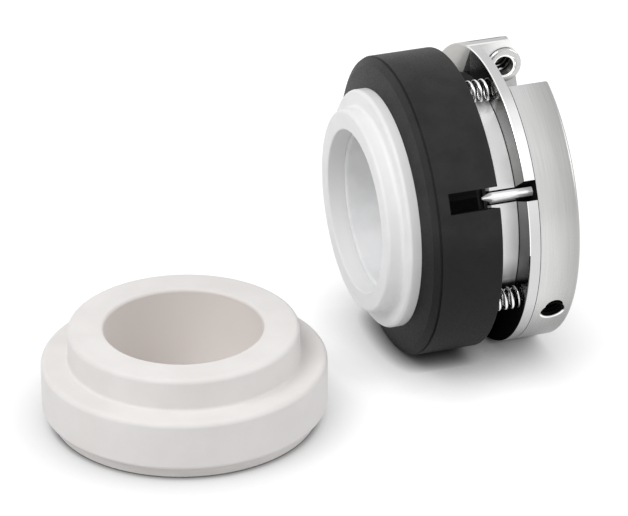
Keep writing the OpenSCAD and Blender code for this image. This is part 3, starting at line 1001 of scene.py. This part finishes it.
def carrier_piece():
    """The black carrier, with its drive slots and the pockets for the springs."""
    outline = rounded([
        (FACE_FLANGE_R + SLIP, CARRIER_FRONT, 0.15),
        (RIM_R - BEVEL_W, BEVEL_FRONT, 0.35),
        (RIM_R - 0.15, LINE_Z, 0.12),
        (RIM_R - LINE_DEPTH, LINE_Z + 0.12, 0.03),
        (RIM_R - LINE_DEPTH, LINE_Z + 0.12 + LINE_W, 0.03),
        (RIM_R, LINE_Z + 0.22 + LINE_W, 0.15),
        (RIM_R, CARRIER_BACK, 0.4),
        (HUB_SOCKET_R, CARRIER_BACK, 0.3),
        (HUB_SOCKET_R, HUB_SOCKET_FLOOR, 0),
        (WEB_R, HUB_SOCKET_FLOOR, 0),
        (WEB_R, RECESS_FLOOR, 0),
        (FACE_FLANGE_R + SLIP, RECESS_FLOOR, 0),
    ], 6)
    piece = turned("carrier", outline)
    cutters = []
    for clock in PIN_CLOCKS:
        cutters.append(block((SLOT_FLOOR_R, -SLOT_W / 2, CARRIER_BACK - SLOT_LEN),
                             (BEYOND_R, SLOT_W / 2, CARRIER_BACK + PAST), at_clock(clock)))
        for place in spring_places(clock):
            cutters.append(bore(SPRING_POCKET_R, SPRING_FRONT, CARRIER_BACK + PAST, place))
    cut(piece, cutters)
    finished(softened(piece, 0.14), 35, carrier_plastic())
    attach(piece, "head")
    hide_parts("carrier_ring")


def fold_side(out_bend, in_bend, crest_r, root_r):
    """One side of the bellows folds as (radius, height), from the front to the back."""
    pitch = (FOLD_END - FOLD_START) / FOLDS
    steps = 10

    def bend(r, z, radius, first, last):
        points = []
        for k in range(steps + 1):
            angle = radians(first + (last - first) * k / steps)
            points.append((r + radius * cos(angle), z + radius * sin(angle)))
        return points

    outline = bend(root_r, FOLD_START, -in_bend, 0, -90)
    for j in range(FOLDS):
        outline += bend(crest_r, FOLD_START + (j + 0.5) * pitch, out_bend, -90, 90)
        if j < FOLDS - 1:
            outline += bend(root_r, FOLD_START + (j + 1) * pitch, -in_bend, 90, -90)
    return outline + bend(root_r, FOLD_END, -in_bend, 90, 0)


def bellows_pieces():
    """The bellows in three pieces: its lip goes with the head, its folds and its tail with the collar."""
    material = bellows_plastic()
    wall = FOLD_WALL
    bend = (FOLD_END - FOLD_START) / FOLDS / 4
    front = rounded([
        (FOLD_IN_R, FACE_LIP_DEPTH, 0.75),
        (LIP_R, FACE_LIP_DEPTH, 0.1),
        (LIP_R, FACE_RING_H + GAP, 0),
        (FACE_FLANGE_R - GAP, FACE_RING_H + GAP, 0.1),
        (FACE_FLANGE_R - GAP, RECESS_FLOOR - GAP, 0.1),
        (FOLD_IN_R + wall, RECESS_FLOOR - GAP, 0.2),
        (FOLD_IN_R + wall, FOLD_START - LIP_GAP, 0),
        (FOLD_IN_R, FOLD_START - LIP_GAP, 0),
    ])
    lip = finished(turned("bellows_lip", front), 40, material)
    crest = FOLD_OUT_R - wall / 2 - bend
    root = FOLD_IN_R + wall / 2 + bend
    outside = fold_side(bend + wall / 2, bend - wall / 2, crest, root)
    inside = fold_side(bend - wall / 2, bend + wall / 2, crest, root)
    folds = finished(turned("bellows_folds", outside + inside[::-1]), 60, material)
    back = rounded([
        (FOLD_IN_R, FOLD_END, 0),
        (FOLD_IN_R + wall, FOLD_END, 0),
        (TAIL_R - SLIP, CAVITY_END, 0.1),
        (TAIL_R - SLIP, TAIL_END, 0.3),
        (SHAFT_R, TAIL_END, 0.3),
        (SHAFT_R, CAVITY_END, 0),
    ])
    tail = finished(turned("bellows_tail", back), 40, material)
    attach(lip, "head")
    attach(folds, "collar")
    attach(tail, "collar")
    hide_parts("bellows")
    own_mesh(folds)


def collar_cutters():
    """Notches, grooves, pin holes and spring pockets, and the saw cut that frees the band."""
    cutters = []
    saw_middle = (FLANGE_BACK + BAND_FRONT) / 2
    far_r = RIM_R + PAST
    narrow = GROOVE_SIDE - GAP
    wide = narrow - NOTCH_FLARE * (far_r - HUB_R)
    notch = [(HUB_R, narrow), (far_r, wide), (far_r, NOTCH_SIDE), (HUB_R, NOTCH_SIDE)]
    for clock in PIN_CLOCKS:
        place = at_clock(clock)
        cutters += [
            prism(notch, FLANGE_FRONT - PAST, saw_middle, place),
            block((HUB_R - GROOVE_DEPTH, GROOVE_SIDE, HUB_FRONT - PAST),
                  (HUB_R + 3, GROOVE_SIDE + GROOVE_W, saw_middle + GAP), place),
            bore(PIN_R + 0.12, FLANGE_BACK - PAST, PIN_END + SLIP, off_axis(clock, PIN_PITCH_R)),
        ]
        for pocket in spring_places(clock):
            cutters.append(bore(SPRING_POCKET_R, FLANGE_FRONT - PAST, SPRING_BACK, pocket))
    cutters.append(sector(TAIL_R - PAST, BEYOND_R, FLANGE_BACK, BAND_FRONT, SAW_TO, SAW_FROM + 360))
    return cutters + clamp_cutters() + set_screw_cutters()


def clamp_cutters():
    """The pocket at the top of the band, its sloping lug, the slit and the clamp screw's hole."""
    screw = across(CLAMP_X, 0, CLAMP_Z)
    shoulder, hole_end = CLAMP_HEAD_H - CLAMP_HEAD_Y, 30
    slant = [(LUG_HEEL_X - PAST / LUG_SLOPE, PAST), (BEYOND_R, PAST),
             (BEYOND_R, (LUG_HEEL_X - BEYOND_R) * LUG_SLOPE)]
    lug_slant = prism(slant, 0, LUG_WALL_Y - SLIT_Y + SLIT_W / 2 + PAST,
                      across(0, LUG_WALL_Y + PAST, COLLAR_BACK))
    return [
        block((POCKET_FLOOR_X, LUG_WALL_Y, FLANGE_BACK - 0.2),
              (BEYOND_R, POCKET_END_Y, COLLAR_BACK + PAST), HEAD_PLACE),
        lug_slant,
        block((TAIL_R / 2, SLIT_Y - SLIT_W, FLANGE_BACK + SAW_W / 2),
              (BEYOND_R, SLIT_Y, COLLAR_BACK + PAST), HEAD_PLACE),
        bore(CLAMP_HEAD_R + 0.1, -LUG_WALL_Y - PAST, shoulder, screw, 96),
        bore(CLAMP_SCREW_R + GAP, shoulder - PAST, hole_end, screw),
    ]


def set_screw_cutters():
    """The set screws' holes, each with a chamfer and a spot face above it."""
    cutters = []
    hole_r, chamfer_w, above = SET_SCREW_R + 0.1, 0.65, 2
    for clock in SET_SCREW_CLOCKS:
        place = inwards(clock, RIM_R)
        cutters += [
            bore(hole_r, -above, RIM_R - TAIL_R + PAST, place),
            rod(hole_r + chamfer_w, hole_r, -0.3, 0.4, place),
            bore(SPOT_R, -above, SPOT_DEPTH, inwards(clock - SPOT_CLOCK, RIM_R)),
        ]
    return cutters


def collar_piece():
    """The hub, flange and clamping band; gives its material for the threads in the set screws' holes."""
    outline = rounded([
        (HUB_BORE_R, HUB_FRONT, 0.15),
        (HUB_R, HUB_FRONT, 0.3),
        (HUB_R, FLANGE_FRONT, 0.2),
        (RIM_R, FLANGE_FRONT, 0.35),
        (RIM_R, COLLAR_BACK, 0.9),
        (TAIL_R, COLLAR_BACK, 0.4),
        (TAIL_R, CAVITY_END, 0),
        (HUB_BORE_R, CAVITY_END, 0.1),
    ], 6)
    piece = turned("collar", outline)
    cut(piece, collar_cutters())
    material = collar_steel()
    finished(softened(piece, 0.12), 35, material)
    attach(piece, "collar")
    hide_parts("clamp_collar")
    return material


def spring_pieces():
    """Four coil springs, each with its own copy of its mesh."""
    material = spring_steel()
    places = [place for clock in PIN_CLOCKS for place in spring_places(clock)]
    for number, (place, start) in enumerate(zip(places, SPRING_STARTS), 1):
        turn = Matrix.Rotation(radians(start), 4, "Z")
        piece = coil(f"coil_{number}", (SPRING_OD - SPRING_WIRE) / 2, SPRING_WIRE, SPRING_TURNS,
                     SPRING_FRONT + GAP, SPRING_BACK - GAP, place @ turn)
        finished(piece, 60, material)
        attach(piece, "collar")
        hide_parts(f"spring_{number}")
        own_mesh(piece)


def pin_pieces():
    """The two pointed drive pins."""
    material = pin_steel()
    for number, clock in enumerate(PIN_CLOCKS, 1):
        outline = rounded([
            (0, PIN_TIP, 0),
            (PIN_R / 3, PIN_TIP + 0.15, 0.1),
            (PIN_R, PIN_TIP + 2, 0.5),
            (PIN_R, PIN_END, 0.2),
            (0, PIN_END, 0),
        ])
        pin = turned(f"pin_{number}", outline, off_axis(clock, PIN_PITCH_R), 48)
        piece = finished(pin, 40, material)
        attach(piece, "collar")
        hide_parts(f"drive_pin_{number}")


def clamp_screw_piece():
    """The clamp screw: head and core, threads, and threaded walls in its recess as in the photo."""
    place = across(CLAMP_X, CLAMP_HEAD_Y, CLAMP_Z)
    length = CLAMP_HEAD_Y - CLAMP_END_Y
    ridge = 0.35
    groove_r = CLAMP_RECESS_R + ridge
    outline = rounded([
        (0, 0, 0),
        (CLAMP_HEAD_R, 0, 0.5),
        (CLAMP_HEAD_R, CLAMP_HEAD_H - GAP, 0.1),
        (CLAMP_SCREW_R - ridge, CLAMP_HEAD_H - GAP, 0),
        (CLAMP_SCREW_R - ridge, length - 0.4, 0),
        (CLAMP_SCREW_R - 2 * ridge, length, 0),
        (0, length, 0),
    ])
    piece = turned("clamp_bolt_head", outline, place, 96)
    cutters = [
        rod(CLAMP_RECESS_R + 0.4, CLAMP_RECESS_R, -GAP, 0.4, place),
        bore(groove_r, 0.3, CLAMP_RECESS_H, place),
        hexagon(CLAMP_HEX, CLAMP_RECESS_H - 0.5, CLAMP_HEAD_H * 0.7, place),
    ]
    cut(piece, cutters)
    walls = thread("clamp_bolt_recess", CLAMP_RECESS_R - ridge, CLAMP_RECESS_R, CLAMP_PITCH, 0.3,
                   CLAMP_RECESS_H - 0.1, groove_r + 0.15, place)
    material = recess_steel("screw_steel", place)
    finished(walls, 40, material)
    finished(softened(piece, 0.08), 35, material)
    ridges = thread("clamp_bolt_thread", CLAMP_SCREW_R - 0.34, CLAMP_SCREW_R, CLAMP_PITCH,
                    CLAMP_HEAD_H + 0.3, length - 0.5, CLAMP_SCREW_R - 0.6, place)
    finished(ridges, 40, material)
    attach(piece, "clamp_bolt")
    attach(ridges, "clamp_bolt")
    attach(walls, "clamp_bolt")
    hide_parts("clamp_screw")


def set_screw_pieces(collar_material):
    """Two headless screws, and the threads in the band's holes above them."""
    material = metal("set_screw_steel", grey(0.03), (0.35, 0.45), 1200, 0.02, 0.000003, 0.2)[0]
    hex_w = SET_SCREW_R
    length = SET_SCREW_TOP - SET_SCREW_END
    core = SET_SCREW_R - 0.4
    for number, clock in enumerate(SET_SCREW_CLOCKS, 1):
        place = inwards(clock, SET_SCREW_TOP)
        outline = rounded([
            (0, 0, 0),
            (core, 0, 0.15),
            (core, length - 1, 0),
            (core - 0.6, length, 0),
            (core - 1.0, length, 0),
            (0, length - 0.7, 0),
        ])
        piece = turned(f"set_screw_core_{number}", outline, place, 64)
        cut(piece, [hexagon(hex_w, -1, hex_w, place)])
        finished(softened(piece, 0.08), 35, material)
        ridges = thread(f"set_screw_thread_{number}", core + 0.01, SET_SCREW_R, SET_SCREW_PITCH, 0.2,
                        length - 1, core - 0.2, place)
        finished(ridges, 40, material)
        hole = inwards(clock, RIM_R)
        walls = thread(f"set_screw_hole_{number}", SET_SCREW_R - 0.3, SET_SCREW_R + 0.08,
                       SET_SCREW_PITCH, 0.45, 3.3, SET_SCREW_R + 0.3, hole)
        finished(walls, 40, collar_material)
        for part in (piece, ridges):
            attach(part, f"grub_{number}")
        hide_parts(f"set_screw_{number}")
        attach(walls, "collar")


# Stage, light and camera

# Where along x the painted shadow on the floor is deeper, and how far round a place the occlusion that
# paints it looks for the object
HEAD_FLOOR_X, COLLAR_FLOOR_X = 52, 80
TIGHT_REACH, WIDE_REACH, SKY_REACH = 1.6, 4.8, 18
GLOW_SHARE = 0.65
# Metres, degrees and millimetres
CAMERA_PLACE = (-0.3127, -1.0275, 0.5856)
CAMERA_HEADING, CAMERA_PITCH, CAMERA_ROLL = 18.62, 26.85, -0.41
CAMERA_LENS = 286.6


def seen_directly(tree):
    """1 for rays from the camera and for mirror rays, 0 for the light that the object receives."""
    path = tree.nodes.new("ShaderNodeLightPath")
    seen = path.outputs["Is Camera Ray"]
    for name in ("Is Glossy Ray", "Is Transmission Ray"):
        seen = most(seen, path.outputs[name])
    return seen


def mixed_shader(share, first, second):
    """A shader between two; share is the second one's part, a number or a socket."""
    node = beside(first, "MixShader")
    for slot, value in enumerate((share, first, second)):
        put(value, node.inputs[slot])
    return node.outputs[0]


def openness(tree, reach):
    """How open the surface is to its surroundings within a reach in millimetres, from 0 to 1."""
    node = tree.nodes.new("ShaderNodeAmbientOcclusion")
    node.samples = 16
    feed(node, Distance=reach * MM)
    return node.outputs["AO"]


def floor():
    """A white floor that keeps the lamps' soft shadow, with a painted shadow from occlusion that is
    darkest where the object stands on it.
    """
    bm = bmesh.new()
    bmesh.ops.create_grid(bm, x_segments=1, y_segments=1, size=4)
    mesh = bpy.data.meshes.new("floor")
    bm.to_mesh(mesh)
    bm.free()
    piece = scene_object("floor", mesh)
    piece.location = (0, 0, -GAP * MM)
    material, tree, bsdf = shader("floor_white")
    cloud = noise(place_vector(tree), 3, 2)
    along = row_parts(tree, Matrix.Identity(4), 1)[0]
    # Painted shadow: occlusion darkens the floor's colour and glow, more widely beside the head
    beside_head = edge(along, HEAD_FLOOR_X, 12)
    near = times(beside_head, before(along, COLLAR_FLOOR_X, 18))
    tight = openness(tree, TIGHT_REACH)
    wide = maths("POWER", openness(tree, WIDE_REACH), 1.2)
    painted_contact_shadow = plus(times(near, wide), times(rest(near), tight))
    white = mixed(cloud, grey(0.955), grey(0.965))
    feed(bsdf, Base_Color=product(white, painted_contact_shadow), Roughness=0.75, Specular_IOR_Level=0.1)
    glow = tree.nodes.new("ShaderNodeEmission")
    # Painted shadow in the glow from wider occlusion
    sky = times(maths("POWER", openness(tree, SKY_REACH), 0.8), 1.25)
    put(times(sky, painted_contact_shadow), glow.inputs["Strength"])
    white = mixed_shader(GLOW_SHARE, bsdf.outputs[0], glow.outputs[0])
    bounce = tree.nodes.new("ShaderNodeBsdfDiffuse")
    feed(bounce, Color=grey(0.75))
    surface = mixed_shader(seen_directly(tree), bounce.outputs[0], white)
    put(surface, tree.nodes["Material Output"].inputs["Surface"])
    piece.data.materials.append(material)


def world():
    """White to the camera and in reflections; a soft studio with a brighter ceiling to the rest."""
    scene = bpy.context.scene
    scene.world = bpy.data.worlds.new("studio")
    scene.world.use_nodes = True
    tree = scene.world.node_tree
    background = tree.nodes["Background"]
    direction = tree.nodes.new("ShaderNodeTexCoord").outputs["Generated"]
    parts = tree.nodes.new("ShaderNodeSeparateXYZ")
    put(direction, parts.inputs[0])
    upwards = spread(parts.outputs[2], 0.0, 0.75, 0, 1)
    room = mixed(upwards, (0.26, 0.26, 0.262), grey(0.62))
    put(mixed(seen_directly(tree), room, grey(1.0)), background.inputs["Color"])
    background.inputs["Strength"].default_value = 1.0


def area_light(name, place, target, size, power):
    """A rectangular lamp, in metres and watts, turned to its target."""
    data = bpy.data.lights.new(name, "AREA")
    data.shape = "RECTANGLE"
    data.size, data.size_y = size
    data.energy = power
    lamp = scene_object(name, data)
    lamp.location = place
    aim = Vector(target) - Vector(place)
    lamp.rotation_mode = "QUATERNION"
    lamp.rotation_quaternion = aim.to_track_quat("-Z", "Y")


def lights():
    """A soft key from the front left and a weaker fill from the right."""
    middle = (0.03, 0.0, 0.02)
    area_light("key", (-0.7, -0.3, 1.1), middle, (0.9, 0.9), 9)
    area_light("fill", (1.2, -0.45, 0.6), middle, (0.8, 0.8), 4.5)


def camera():
    """The photo's long-lens view."""
    data = bpy.data.cameras.new("camera")
    data.sensor_width = 36
    data.lens = CAMERA_LENS
    data.clip_start, data.clip_end = 0.05, 20
    eye = scene_object("camera", data)
    heading, pitch = radians(CAMERA_HEADING), radians(CAMERA_PITCH)
    level = cos(pitch)
    look = Vector((sin(heading) * level, cos(heading) * level, -sin(pitch)))
    turn = look.to_track_quat("-Z", "Y").to_matrix() @ Matrix.Rotation(radians(CAMERA_ROLL), 3, "Z")
    eye.location = CAMERA_PLACE
    eye.rotation_euler = turn.to_euler()
    bpy.context.scene.camera = eye


seat_piece()
face_piece()
carrier_piece()
bellows_pieces()
band_steel = collar_piece()
spring_pieces()
pin_pieces()
clamp_screw_piece()
set_screw_pieces(band_steel)
floor()
world()
lights()
camera()
bpy.context.scene.view_settings.view_transform = "Standard"
